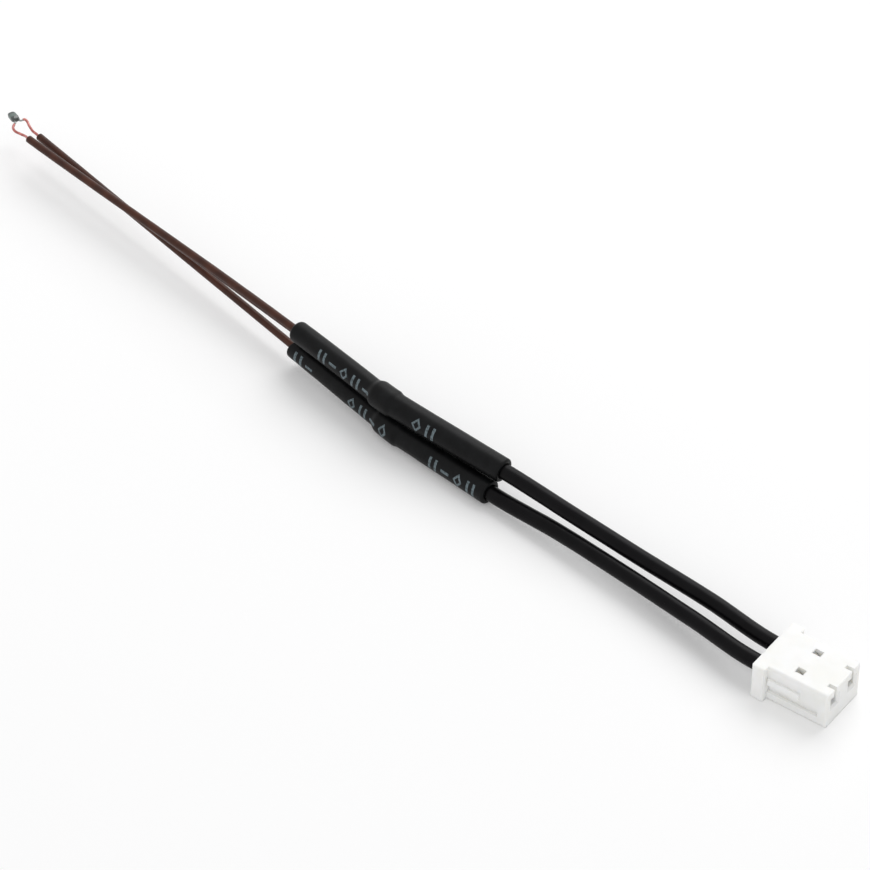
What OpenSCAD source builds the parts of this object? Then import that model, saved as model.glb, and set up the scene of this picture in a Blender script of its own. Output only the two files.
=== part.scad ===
// Thermistor lead: a glass-coated sensor bead on two fine leads, each in its own sleeve, spliced
// under heat-shrink tubing to two short black wires that end in a two-way crimp housing.
// It lies on a table: +X runs from the bead to the mating face of the housing, +Z is up, and the
// origin is on the table under the middle of the whole part. "left" is the +Y circuit at the housing.

/* [Housing] */
// Length of the housing, from the wire entry to the mating face
housing_l = 4.8; // [4.2:0.1:8]
// Spacing of the two contacts
pitch = 1.8; // [1.6:0.05:2.6]
// Wall beside each round wire cavity
side_wall = 0.2; // [0.12:0.01:0.5]
// Floor below the round wire cavities
floor_wall = 0.85; // [0.55:0.05:1.2]
// Roof above the round wire cavities
roof_wall = 0.35; // [0.3:0.05:1]
// Wall at the mating face that stops the contacts
front_wall = 0.4; // [0.25:0.05:0.6]
// Length of the round wire cavity behind the contact box
bore_l = 2.2; // [2.15:0.05:2.4]
// Width of the lead-in cone round each wire entry
entry_cone = 0.1; // [0.02:0.01:0.15]
// Radius of the moulded edges
edge_r = 0.18; // [0.05:0.01:0.2]

/* [Housing grips] */
// Length of the wide rear flange
flange_l = 0.85; // [0.4:0.05:1.2]
// How far the flange stands out at each side
flange_out = 0.4; // [0.2:0.05:0.8]
// Distance from the wire entry to the side rib
rib_start = 0.95; // [0.9:0.05:1.4]
// Length of the side rib
rib_l = 2.05; // [1:0.05:2.6]
// Height of the side rib
rib_h = 0.45; // [0.2:0.05:0.6]
// Height of the side rib's middle above the table
rib_z = 1.35; // [1.1:0.05:1.6]
// How far the side rib stands out
rib_out = 0.15; // [0.05:0.01:0.3]
// Depth of the guide groove under the side rib
groove_in = 0.22; // [0.1:0.01:0.26]
// Height of the guide groove
groove_h = 0.55; // [0.3:0.05:0.6]
// Length of the full-height nose in front of the guide groove
nose_l = 0.6; // [0.45:0.05:1]

/* [Openings] */
// Width of each pin window in the mating face
window_w = 0.66; // [0.4:0.02:0.7]
// Height of each pin window in the mating face
window_h = 0.66; // [0.4:0.02:0.7]
// How far the chamfer round a pin window spreads
window_chamfer = 0.14; // [0.05:0.01:0.2]
// Width of the slot above each pin window
slot_w = 0.26; // [0.15:0.01:0.4]
// Distance from the end of the round cavity to each latch window
latch_setback = 0; // [0:0.05:0.15]
// Length of each latch window in the roof
latch_l = 0.55; // [0.55:0.05:0.9]
// Width of each latch window in the roof
latch_w = 0.42; // [0.36:0.02:0.7]

/* [Contacts] */
// Sheet thickness of the crimp contacts
sheet_t = 0.1; // [0.06:0.01:0.12]
// Outside width and height of the contact box
box_w = 0.8; // [0.76:0.01:0.84]
// Distance from the end of the round cavity to the contact box
box_setback = 0.25; // [0.1:0.05:0.3]
// Gap between a contact and the cavity round it
contact_gap = 0.05; // [0.02:0.01:0.08]
// Length of the grip round the insulation
grip_l = 0.7; // [0.4:0.05:0.8]
// Length of the crimp round the copper core
crimp_l = 0.4; // [0.3:0.05:0.55]
// Distance from the crimp to the end of the round cavity
crimp_setback = 0.1; // [0.05:0.01:0.15]
// Length of insulation that shows past its grip
grip_setback = 0.2; // [0.1:0.05:0.3]
// How deep the grips bite into the strip that carries them
strip_bite = 0.02; // [0.01:0.005:0.03]
// Length of the spring latch on top of the contact box
spring_l = 0.45; // [0.3:0.01:0.5]
// Rise of the spring latch above the contact box
spring_rise = 0.4; // [0.1:0.05:0.5]

/* [Black wires] */
// Outside diameter of the insulation
wire_d = 1; // [0.8:0.02:1.1]
// Diameter of the stranded core
core_d = 0.5; // [0.4:0.02:0.6]
// Gap between the strands and the insulation
core_gap = 0.01; // [0.01:0.005:0.02]
// Distance from the left splice to the wire entry of the housing
wire_run = 29.4; // [20:0.1:60]
// Sideways offset of the housing from the left splice
housing_shift = -3.41; // [-5:0.01:-2]
// How far the insulation reaches into the housing
insulation_in = 1.4; // [1.3:0.05:1.5]
// How far the bare core reaches into the housing
core_in = 2.15; // [2.1:0.01:2.3]

/* [Heat-shrink] */
// Cut length of each heat-shrink tube
tube_l = 17.4; // [14:0.1:24]
// Length of the left tube on the sensor side of its splice
tube_fine_left = 8.7; // [6:0.1:10]
// Length of the right tube on the sensor side of its splice
tube_fine_right = 9.8; // [6:0.1:10]
// Tube wall where it has shrunk down to a sleeve
wall_on_sleeve = 0.44; // [0.3:0.01:0.5]
// Tube wall over the splice
wall_on_splice = 0.3; // [0.2:0.01:0.4]
// Tube wall over a black wire
wall_on_wire = 0.275; // [0.2:0.005:0.35]
// Length over which a tube falls from the solder joint to the sleeve
fall_l = 0.6; // [0.4:0.05:1]
// Gap left between the two tubes where one rests on the other
rest_gap = 0.04; // [0.02:0.01:0.1]
// How far the sensor end of the right tube is cut on the slant
slant_cut = 0.4; // [0:0.05:0.8]
// Radius of the softened edge at the sensor end of the left tube
lip_r = 0.25; // [0.1:0.05:0.4]
// Radius of the softened edge where a tube closes on its black wire
wire_lip_r = 0.16; // [0.08:0.02:0.2]

/* [Splices] */
// Largest diameter of a solder joint
solder_d = 1.16; // [1.05:0.02:1.4]
// Length of the left solder joint at its full thickness
joint_left = 1; // [0.6:0.05:1.6]
// Length of the right solder joint at its full thickness
joint_right = 1.25; // [0.6:0.05:1.6]
// Distance from a splice to the insulation of its black wire
bare_l = 0.7; // [0.6:0.05:1.2]
// Gap between the solder and the tube round it
solder_gap = 0.01; // [0.005:0.005:0.03]
// Distance along the part between the left and the right splice
stagger = 0.74; // [0:0.02:1.5]
// Sideways distance between the left and the right splice
splice_side = 0.3; // [0:0.02:0.6]

/* [Sleeves and fine leads] */
// Outside diameter of a sleeve
sleeve_d = 0.5; // [0.44:0.01:0.6]
// Bore of a sleeve
sleeve_bore = 0.28; // [0.24:0.01:0.34]
// Distance from the left splice to the sensor end of its sleeve
reach_left = 35; // [25:0.1:60]
// Distance from the right splice to the sensor end of its sleeve
reach_right = 36.1; // [25:0.1:60]
// Diameter of a fine lead
lead_d = 0.18; // [0.14:0.01:0.2]

/* [Sensor bead] */
// Length of the glass bead
bead_l = 0.9; // [0.85:0.05:1.6]
// Width of the glass bead across the two leads
bead_w = 0.56; // [0.54:0.01:0.8]
// Thickness of the glass bead
bead_t = 0.4; // [0.38:0.01:0.6]
// Radius of the bead's melted edges
bead_r = 0.12; // [0.05:0.01:0.15]
// Direction of the bead in the table plane
bead_yaw = 158.4; // [140:0.2:180]
// Length of the sensor chip
chip_l = 0.4; // [0.25:0.01:0.45]
// Thickness of the sensor chip between its electrodes
chip_t = 0.08; // [0.06:0.01:0.12]
// Height of the sensor chip
chip_h = 0.26; // [0.18:0.01:0.3]
// Thickness of an electrode
electrode_t = 0.03; // [0.02:0.005:0.04]
// How far each lead reaches into the glass
lead_in = 0.66; // [0.6:0.01:0.78]

/* [Hidden] */
$fn = 48;

// Numbers of flat sides of the swept pieces
wire_sides = 16;
core_sides = 14;
lead_sides = 10;
// Depth of the hollows between the seven strands of a core, as a share of its radius
strand_hollow = 0.12;
// Straight stretch of a lead beyond the farther sleeve's end
lead_straight = 0.05;
// How far a cutting shape reaches past the face it cuts through
cut = 0.1;
// Points along each quarter of a black wire and each bend of a bare lead, and flat steps along
// each fall of a tube
bend_steps = 3;
fall_steps = 6;
// Share of the fall of a tube over which the solder and the room for it fall inside
fall_inside = 0.7;
solder_share = 0.7;
// Angle at which the ball round a splice stands proud of the joint beside it
ball_angle = 14;

// A side is 0 for left and 1 for right; its sign is +1 for left and -1 for right
LEFT = 0;
RIGHT = 1;
function sign_of(side) = side == LEFT ? 1 : -1;

// Radii
wire_r = wire_d/2;
core_r = core_d/2;
sleeve_r = sleeve_d/2;
lead_r = lead_d/2;
solder_r = solder_d/2;
tube_fine_r = sleeve_r + wall_on_sleeve;
tube_wire_r = wire_r + wall_on_wire;
bump_r = solder_r + wall_on_splice;

// Housing: the round cavities hold the insulation grips, and set its width and height
bore_r = wire_r + sheet_t + contact_gap;
housing_w = pitch + 2*bore_r + 2*side_wall;
housing_h = floor_wall + 2*bore_r + roof_wall;
flange_w = housing_w + 2*flange_out;
cavity_z = floor_wall + bore_r;
latch_start = bore_l + latch_setback;
box_start = bore_l + box_setback;
box_end = housing_l - front_wall - contact_gap;
cavity_w = box_w + 2*contact_gap;
groove_z = rib_z - rib_h/2 - groove_h;
crimp_start = bore_l - crimp_setback - crimp_l;
grip_start = insulation_in - grip_setback - grip_l;

// Directions away from each splice: to the sensor (fine) and to the housing (wire), as the angle
// in the table plane from the X axis and the rise above it
fine_yaw = [11.2, 13.1];
fine_rise = [-0.4, 1.6];
wire_yaw = [-2.7, -7.2];
tube_fine = [tube_fine_left, tube_fine_right];
reach = [reach_left, reach_right];
wire_side_l = [for (side = [LEFT, RIGHT]) tube_l - tube_fine[side]];
joint = [joint_left, joint_right];
sleeve_start = [for (side = [LEFT, RIGHT]) joint[side] + fall_inside*fall_l];

// The right tube lies on the table, and the left one rests on it at the splice and at its end
splice_z = [bump_r + sqrt(pow(2*bump_r + rest_gap, 2) - pow(splice_side, 2)), bump_r];
lay_splice = [[0, 0, splice_z[LEFT]], [stagger, -splice_side, splice_z[RIGHT]]];
end_xy = [for (side = [LEFT, RIGHT])
    [lay_splice[side].x + wire_side_l[side]*cos(wire_yaw[side]),
     lay_splice[side].y + wire_side_l[side]*sin(wire_yaw[side])]];
end_z = [tube_wire_r + sqrt(pow(2*tube_wire_r + rest_gap, 2) - pow(end_xy[LEFT].y - end_xy[RIGHT].y, 2)),
    tube_wire_r];

// The leads run straight as far as the end of the farther sleeve; the bead is set from the middle
// between them there
function fine_dir(side) = [-cos(fine_yaw[side])*cos(fine_rise[side]),
    sin(fine_yaw[side])*cos(fine_rise[side]), sin(fine_rise[side])];
far_x = min([for (side = [LEFT, RIGHT]) lay_splice[side].x + reach[side]*fine_dir(side).x]);
lay_far = [for (side = [LEFT, RIGHT])
    lay_splice[side] + (far_x - lay_splice[side].x)/fine_dir(side).x*fine_dir(side)];
lay_tip = (lay_far[LEFT] + lay_far[RIGHT])/2;
bead_from_tip = [-2.43, 0.83, 0.05];
lead_spacing = lead_d + chip_t + 2*electrode_t;

// The origin under the middle of the part: the bead and the mating face end it along X, the bead
// and the flange across it
bead_reach_x = (bead_l/2 - bead_r)*abs(cos(bead_yaw)) + (bead_w/2 - bead_r)*abs(sin(bead_yaw)) + bead_r;
bead_reach_y = (bead_l/2 - bead_r)*abs(sin(bead_yaw)) + (bead_w/2 - bead_r)*abs(cos(bead_yaw)) + bead_r;
mid = [
    (wire_run + housing_l + lay_tip.x + bead_from_tip.x - bead_reach_x)/2,
    (housing_shift - flange_w/2 + lay_tip.y + bead_from_tip.y + bead_reach_y)/2,
    0
];
splice = [for (side = [LEFT, RIGHT]) lay_splice[side] - mid];
tube_end = [for (side = [LEFT, RIGHT]) [end_xy[side].x, end_xy[side].y, end_z[side]] - mid];
entry = [for (side = [LEFT, RIGHT])
    [wire_run, housing_shift + sign_of(side)*pitch/2, cavity_z] - mid];
housing_at = [wire_run, housing_shift, 0] - mid;
lead_far = [for (side = [LEFT, RIGHT]) lay_far[side] - mid];
tip = lay_tip - mid;
bead_at = tip + bead_from_tip;

// Bends of the bare leads on their way to the bead, from the middle between them at far_x
loop = [
    [[-0.4, -0.345, 0.15], [-0.87, -0.315, 0.1], [-1.37, -0.255, 0.05], [-1.71, -0.045, 0.05],
     [-1.9, 0.3, 0.05]],
    [[-0.29, 0.545, -0.15], [-0.6, 0.585, -0.1], [-1.1, 0.825, -0.05], [-1.46, 1.045, 0],
     [-1.7, 1.05, 0.05]]
];
// How far each black wire bows sideways at the quarters of its way to the housing
bow = [[0, 0.02, 0.1], [0.24, 0.23, 0.11]];

function unit(v) = v/norm(v);
function wire_dir(side) = unit(tube_end[side] - splice[side]);

// Point of the smooth curve through b and c, between its neighbours a and d
function through(a, b, c, d, s) = 0.5*(2*b + (c - a)*s + (2*a - 5*b + 4*c - d)*s*s
    + (3*b - a - 3*c + d)*s*s*s);
function smooth(points, steps) = concat(
    [for (i = [1:len(points) - 3], k = [0:steps - 1])
        through(points[i - 1], points[i], points[i + 1], points[i + 2], k/steps)],
    [points[len(points) - 2]]
);

// Stations of a black wire, each a point and a direction: straight in its tube from the distance
// from to the tube end, bowed on its way to the wire entry, then straight into the housing
function wire_stations(side, from, into) = let (
        p = tube_end[side],
        q = entry[side],
        quarter = norm(q - p)/4,
        bends = [for (i = [1:3]) p + i/4*(q - p) + [0, bow[side][i - 1], 0]],
        lead_up = bends[0] - 2*quarter*wire_dir(side),
        run = smooth(concat([lead_up, p], bends, [q, bends[2] + [2*quarter, 0, 0]]), bend_steps))
    concat(
        [[splice[side] + from*wire_dir(side), wire_dir(side)], [p, wire_dir(side)]],
        [for (i = [1:len(run) - 2]) [run[i], unit(run[i + 1] - run[i - 1])]],
        [[q, [1, 0, 0]], [q + [into, 0, 0], [1, 0, 0]]]
    );

// Place in the bead's own frame, where x runs from its lead end to its far end
function in_bead(p) = bead_at + [p.x*cos(bead_yaw) - p.y*sin(bead_yaw),
    p.x*sin(bead_yaw) + p.y*cos(bead_yaw), p.z];
function lead_line(side, x) = in_bead([x, sign_of(side)*lead_spacing/2, 0]);

// Points of a fine lead: from inside its solder joint, straight through the sleeve, round its
// loop and into the glass
function lead_points(side) = concat(
    [splice[side] + lead_r*fine_dir(side), splice[side] + tube_fine[side]*fine_dir(side),
     lead_far[side] - lead_straight*fine_dir(side)],
    smooth(concat(
        [lead_far[side] - lead_straight*fine_dir(side), lead_far[side] + lead_straight*fine_dir(side)],
        [for (p = loop[side]) tip + p],
        [lead_line(side, -bead_l/2 - lead_r), lead_line(side, lead_in - bead_l/2)]
    ), bend_steps),
    [for (into = [-lead_r/2, lead_in/2, lead_in]) lead_line(side, into - bead_l/2)]
);
function stations(points) = [for (i = [0:len(points) - 1])
    [points[i], unit(points[min(i + 1, len(points) - 1)] - points[max(i - 1, 0)])]];

// Ring of points round one station, square to its direction
function ring(station, radii) = let (
        side_ways = unit(cross(station[1], [0, 0, 1])),
        up_ways = cross(side_ways, station[1]),
        n = len(radii))
    [for (i = [0:n - 1])
        station[0] + radii[i]*(cos(360*i/n)*side_ways + sin(360*i/n)*up_ways)];

// Two triangles for each patch between one ring of n points and the next
function skin(n, count, first, out) = [for (k = [0:count - 2], i = [0:n - 1])
    let (a = first + k*n + i, b = first + k*n + (i + 1)%n, c = b + n, d = a + n)
    each (out ? [[a, b, c], [a, c, d]] : [[a, c, b], [a, d, c]])];

// Solid swept along stations, with the given radii round each ring
module sweep(stations, radii) {
    n = len(radii);
    count = len(stations);
    polyhedron(
        points = [for (s = stations) each ring(s, radii)],
        faces = concat(
            skin(n, count, 0, true),
            [[for (i = [n - 1:-1:0]) i]],
            [[for (i = [0:n - 1]) (count - 1)*n + i]]
        ),
        convexity = 6
    );
}

// Tube swept along stations, with n flat sides outside and inside
module sweep_tube(stations, outer, inner, n) {
    count = len(stations);
    bore = n*count;
    far = n*(count - 1);
    polyhedron(
        points = concat(
            [for (s = stations) each ring(s, [for (i = [1:n]) outer])],
            [for (s = stations) each ring(s, [for (i = [1:n]) inner])]
        ),
        faces = concat(
            skin(n, count, 0, true),
            skin(n, count, bore, false),
            [for (i = [0:n - 1]) let (j = (i + 1)%n) each [[i, bore + i, bore + j], [i, bore + j, j]]],
            [for (i = [0:n - 1]) let (j = (i + 1)%n)
                each [[far + i, far + bore + j, far + bore + i], [far + i, far + j, far + bore + j]]]
        ),
        convexity = 6
    );
}

// Turns the Z axis of its children to the direction d at the point p
module aim(p, d) {
    translate(p)
        rotate([0, acos(d.z), atan2(d.y, d.x)])
            children();
}

// Rectangle with round corners, about its middle
module rounded(w, h, r) {
    square([w - 2*r, h], center = true);
    square([w, h - 2*r], center = true);
    for (x = [-1, 1], y = [-1, 1])
        translate([x*(w/2 - r), y*(h/2 - r)])
            circle(r = r);
}

// Block of length l along X on the table, with every long and upright edge rounded
module moulded_block(l, w, h, r) {
    intersection() {
        rotate([90, 0, 90])
            linear_extrude(l)
                translate([0, h/2])
                    rounded(w, h, r);
        linear_extrude(h)
            translate([l/2, 0])
                rounded(l, w, r);
    }
}

// Centred block of length l from x
module block(x, l, w, z, h) {
    translate([x, -w/2, z])
        cube([l, w, h]);
}

// Wedge-sided opening that widens to the mating face by a chamfer
module window_mouth() {
    deep = window_chamfer;
    intersection() {
        translate([0, 0, cavity_z - box_w])
            linear_extrude(2*box_w)
                polygon([[housing_l - deep, -window_w/2], [housing_l, -window_w/2 - deep],
                    [housing_l + deep, -window_w/2 - deep], [housing_l + deep, window_w/2 + deep],
                    [housing_l, window_w/2 + deep], [housing_l - deep, window_w/2]]);
        translate([0, box_w, 0])
            rotate([90, 0, 0])
                linear_extrude(2*box_w)
                    translate([0, cavity_z])
                        polygon([[housing_l - deep, -window_h/2], [housing_l, -window_h/2 - deep],
                            [housing_l + deep, -window_h/2 - deep], [housing_l + deep, window_h/2 + deep],
                            [housing_l, window_h/2 + deep], [housing_l - deep, window_h/2]]);
    }
}

// Everything that is cut out of the housing for one contact, about the cavity's axis
module cavity() {
    floor_z = cavity_z - box_w/2;
    cavity_h = box_w + contact_gap;
    translate([0, 0, cavity_z])
        rotate([0, 90, 0]) {
            translate([0, 0, -cut])
                cylinder(r = bore_r, h = bore_l + cut);
            translate([0, 0, -entry_cone])
                cylinder(r1 = bore_r + 2*entry_cone, r2 = bore_r, h = 2*entry_cone);
        }
    block(bore_l - cut, housing_l - front_wall - bore_l + cut, cavity_w, floor_z, cavity_h);
    block(housing_l - front_wall - cut, front_wall + 2*cut, window_w, cavity_z - window_h/2, window_h);
    window_mouth();
    block(housing_l - front_wall - cut, front_wall + 2*cut, slot_w, cavity_z, housing_h);
    block(latch_start, latch_l, latch_w, cavity_z, housing_h);
}

// One moulding: body, flange, side ribs and guide grooves, two cavities open at both ends
module connector_housing() {
    color("#f4f3ee")
        translate(housing_at)
            difference() {
                union() {
                    moulded_block(housing_l, housing_w, housing_h, edge_r);
                    moulded_block(flange_l, flange_w, housing_h, edge_r);
                    block(rib_start, rib_l, housing_w + 2*rib_out, cavity_z - rib_h/2, rib_h);
                }
                for (side = [-1, 1])
                    translate([flange_l, side*housing_w/2 - groove_in, groove_z])
                        cube([housing_l - flange_l - nose_l, 2*groove_in, groove_h]);
                for (side = [LEFT, RIGHT])
                    translate([0, sign_of(side)*pitch/2, 0])
                        cavity();
            }
}

// Folded box, sprung latch, and the two crimps on the strip that joins them
module contact(side) {
    half = box_w/2;
    room_w = box_w - 2*sheet_t;
    strip_w = box_w/2;
    crimp_end = crimp_start + crimp_l;
    strip_bend = insulation_in + contact_gap;
    color("#c9c4b4")
        translate(entry[side])
            difference() {
                union() {
                    difference() {
                        block(box_start, box_end - box_start, box_w, -half, box_w);
                        block(box_start + sheet_t, box_end, room_w, sheet_t - half, room_w);
                    }
                    translate([0, strip_w/2, 0])
                        rotate([90, 0, 0])
                            linear_extrude(strip_w)
                                polygon([
                                    [grip_start, -wire_r - sheet_t], [strip_bend, -wire_r - sheet_t],
                                    [crimp_start, -core_r - sheet_t], [crimp_end, -core_r - sheet_t],
                                    [box_start, -half], [box_start + sheet_t, -half],
                                    [box_start + sheet_t, sheet_t - half], [crimp_end, sheet_t - half],
                                    [crimp_end, strip_bite - core_r], [crimp_start, strip_bite - core_r],
                                    [strip_bend, strip_bite - wire_r], [grip_start, strip_bite - wire_r]
                                ]);
                    rotate([0, 90, 0]) {
                        translate([0, 0, grip_start])
                            cylinder(r = wire_r + sheet_t, h = grip_l);
                        translate([0, 0, crimp_start])
                            cylinder(r = core_r + sheet_t, h = crimp_l);
                    }
                    spring();
                }
                rotate([0, 90, 0]) {
                    cylinder(r = wire_r, h = strip_bend);
                    cylinder(r = core_r, h = core_in + contact_gap);
                }
                // Seam where the insulation grip closes
                block(grip_start - cut, grip_l + 2*cut, sheet_t/2, 0, box_w);
            }
}

// Latch that springs up into the roof window, its free end towards the wires
module spring() {
    free_end = latch_start + contact_gap;
    top = box_w/2;
    translate([0, latch_w/2 - contact_gap, 0])
        rotate([90, 0, 0])
            linear_extrude(latch_w - 2*contact_gap)
                polygon([
                    [free_end, top + spring_rise - sheet_t], [free_end, top + spring_rise],
                    [free_end + spring_l, top], [free_end + spring_l, top - sheet_t/2],
                    [free_end + spring_l - sheet_t, top - sheet_t/2]
                ]);
}

module contact_left() contact(LEFT);
module contact_right() contact(RIGHT);

module wire_insulation(side) {
    color("#1b1b1d")
        sweep_tube(wire_stations(side, bare_l, insulation_in), wire_r, core_r, wire_sides);
}

module wire_insulation_left() wire_insulation(LEFT);
module wire_insulation_right() wire_insulation(RIGHT);

// Seven tinned strands as one fluted core
module wire_core(side) {
    r = core_r - core_gap;
    color("#c9b08a")
        sweep(wire_stations(side, bare_l/2, core_in),
            [for (i = [1:core_sides]) r*(i%2 == 0 ? 1 : 1 - strand_hollow)]);
}

module wire_core_left() wire_core(LEFT);
module wire_core_right() wire_core(RIGHT);

// Outlines of half a tube or joint, to turn about its axis. An end of radius r at the distance l
// has its edge softened by lip
function end_outline(r, l, lip) = concat(
    lip > 0 ? [for (a = [0:30:90]) [r - lip + lip*cos(a), l - lip + lip*sin(a)]] : [[r, l]],
    [[0, l]]
);
function straight_outline(r, l, lip) = concat([[0, 0], [r, 0]], end_outline(r, l, lip));
// At r_joint along the joint, easing down over the length fall to the radius r
function joint_outline(r_joint, joint_l, fall, r, l, lip) = concat(
    [[0, 0], [r_joint, 0]],
    [for (i = [joint_l > 0 ? 0 : 1:fall_steps])
        [r + (r_joint - r)*(1 + cos(180*i/fall_steps))/2, joint_l + fall*i/fall_steps]],
    end_outline(r, l, lip)
);

// Outline on the sensor side of a splice and outline on its wire side, each turned about its own
// straight line, with a ball round the bend between them
module about_splice(side, r_ball, fine_outline, wire_outline) {
    aim(splice[side], fine_dir(side))
        rotate_extrude()
            polygon(fine_outline);
    aim(splice[side], wire_dir(side))
        rotate_extrude()
            polygon(wire_outline);
    aim(splice[side], fine_dir(side))
        sphere(r = r_ball);
}

// Tube shrunk on to the sleeve, the solder and the black wire
module shrink_tube(side) {
    color("#222325")
        difference() {
            about_splice(side, bump_r,
                joint_outline(bump_r*cos(ball_angle), joint[side], fall_l, tube_fine_r, tube_fine[side],
                    side == LEFT ? lip_r : 0),
                straight_outline(tube_wire_r, wire_side_l[side], wire_lip_r));
            about_splice(side, solder_r,
                joint_outline(solder_r*cos(ball_angle), joint[side], fall_inside*fall_l, sleeve_r, tube_l, 0),
                straight_outline(wire_r, tube_l, 0));
            if (side == RIGHT)
                slanted_cut(side);
        }
}

// Tilted block that takes the tube's sensor end off on the slant
module slanted_cut(side) {
    wide = 4*tube_fine_r;
    middle = tube_fine[side] - slant_cut/2 - cut/2;
    aim(splice[side] + middle*fine_dir(side), fine_dir(side))
        rotate([atan(slant_cut/(2*tube_fine_r)), 0, 0])
            translate([-wide/2, -wide/2, 0])
                cube(wide);
}

module shrink_tube_left() shrink_tube(LEFT);
module shrink_tube_right() shrink_tube(RIGHT);

// Solder over the twisted end of the lead and the strands of the wire
module solder_joint(side) {
    r_ball = solder_r - solder_gap;
    r_joint = r_ball*cos(ball_angle);
    fall = solder_share*fall_inside*fall_l;
    wire_fall = solder_share*bare_l;
    color("#b9bbbd")
        difference() {
            about_splice(side, r_ball,
                joint_outline(r_joint, joint[side], fall, 2*lead_r, joint[side] + fall + lead_r/2, 0),
                joint_outline(r_joint, 0, wire_fall, core_r + solder_gap, wire_fall + lead_r/2, 0));
            aim(splice[side] + lead_r*fine_dir(side), fine_dir(side))
                cylinder(r = lead_r, h = tube_l);
            aim(splice[side] + bare_l/2*wire_dir(side), wire_dir(side))
                cylinder(r = core_r - core_gap, h = tube_l);
        }
}

module solder_joint_left() solder_joint(LEFT);
module solder_joint_right() solder_joint(RIGHT);

module sleeve(side) {
    color("#4a2f28")
        aim(splice[side], fine_dir(side))
            translate([0, 0, sleeve_start[side]])
                difference() {
                    cylinder(r = sleeve_r, h = reach[side] - sleeve_start[side]);
                    translate([0, 0, -cut])
                        cylinder(r = sleeve_bore/2, h = reach[side]);
                }
}

module sleeve_left() sleeve(LEFT);
module sleeve_right() sleeve(RIGHT);

module fine_lead(side) {
    color("#c0604f")
        sweep(stations(lead_points(side)), [for (i = [1:lead_sides]) lead_r]);
}

module fine_lead_left() fine_lead(LEFT);
module fine_lead_right() fine_lead(RIGHT);

// Sets its children in the bead's own frame
module in_bead_frame() {
    translate(bead_at)
        rotate([0, 0, bead_yaw])
            children();
}

module chip_block(l, w, h) {
    cube([l, w, h], center = true);
}

// Glass melted over the chip, its electrodes and the ends of the leads
module bead_glass() {
    color("#3c4a49")
        in_bead_frame()
            difference() {
                intersection() {
                    translate([0, 0, -bead_t/2])
                        linear_extrude(bead_t)
                            rounded(bead_l, bead_w, bead_r);
                    translate([0, bead_w, 0])
                        rotate([90, 0, 0])
                            linear_extrude(2*bead_w)
                                rounded(bead_l, bead_t, bead_r);
                    rotate([90, 0, 90])
                        translate([0, 0, -bead_l])
                            linear_extrude(2*bead_l)
                                rounded(bead_w, bead_t, bead_r);
                }
                chip_block(chip_l, chip_t + 2*electrode_t, chip_h);
                for (side = [-1, 1])
                    translate([-bead_l, side*lead_spacing/2, 0])
                        rotate([0, 90, 0])
                            cylinder(r = lead_r, h = lead_in + bead_l/2);
            }
}

module sensor_chip() {
    color("#6f7a74")
        in_bead_frame()
            chip_block(chip_l, chip_t, chip_h);
}

module electrode(side) {
    color("#d5d6d2")
        in_bead_frame()
            translate([0, sign_of(side)*(chip_t + electrode_t)/2, 0])
                chip_block(chip_l, electrode_t, chip_h);
}

module electrode_left() electrode(LEFT);
module electrode_right() electrode(RIGHT);

connector_housing();
contact_left();
contact_right();
wire_insulation_left();
wire_insulation_right();
wire_core_left();
wire_core_right();
shrink_tube_left();
shrink_tube_right();
solder_joint_left();
solder_joint_right();
sleeve_left();
sleeve_right();
fine_lead_left();
fine_lead_right();
bead_glass();
sensor_chip();
electrode_left();
electrode_right();
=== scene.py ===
# Looks for the thermistor on sleeved leads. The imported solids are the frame. The round pieces are
# remade here with smooth skins and twisted strands, and every piece gets a material of its own.
import math
import bpy
import numpy as np
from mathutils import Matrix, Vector


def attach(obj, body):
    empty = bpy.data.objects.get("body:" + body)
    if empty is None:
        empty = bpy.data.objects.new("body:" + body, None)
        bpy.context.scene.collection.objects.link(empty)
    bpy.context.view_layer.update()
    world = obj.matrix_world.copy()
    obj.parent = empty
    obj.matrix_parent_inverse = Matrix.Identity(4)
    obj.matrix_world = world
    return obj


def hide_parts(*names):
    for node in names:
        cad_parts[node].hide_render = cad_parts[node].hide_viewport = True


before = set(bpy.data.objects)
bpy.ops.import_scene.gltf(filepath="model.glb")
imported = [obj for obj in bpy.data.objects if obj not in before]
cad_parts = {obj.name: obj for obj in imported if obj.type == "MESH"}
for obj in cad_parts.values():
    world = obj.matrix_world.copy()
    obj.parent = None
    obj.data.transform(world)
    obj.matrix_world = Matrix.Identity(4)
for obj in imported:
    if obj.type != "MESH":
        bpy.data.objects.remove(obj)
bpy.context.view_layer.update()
mm = 0.001
left, right = 0, 1
sideNames = ["left", "right"]
sideTitles = ["Left", "Right"]


# Small tools

def unit(v):
    v = np.asarray(v, float)
    return v / np.linalg.norm(v, axis=-1, keepdims=True)


def linearColor(code):
    # sRGB hex to linear RGBA
    parts = [int(code[i:i + 2], 16) / 255 for i in (1, 3, 5)]
    return [c / 12.92 if c <= 0.04045 else ((c + 0.055) / 1.055) ** 2.4 for c in parts] + [1.0]


def put(tree, kind, inputs=None, **settings):
    # Adds a node, sets it, links or sets its inputs, and gives back its outputs
    made = tree.nodes.new(kind)
    for key, value in settings.items():
        setattr(made, key, value)
    for key, value in (inputs or {}).items():
        if isinstance(value, bpy.types.NodeSocket):
            tree.links.new(value, made.inputs[key])
        else:
            made.inputs[key].default_value = value
    return made.outputs


# Where the source lays each piece, in mm and degrees; pairs are for the left and the right circuit

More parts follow.
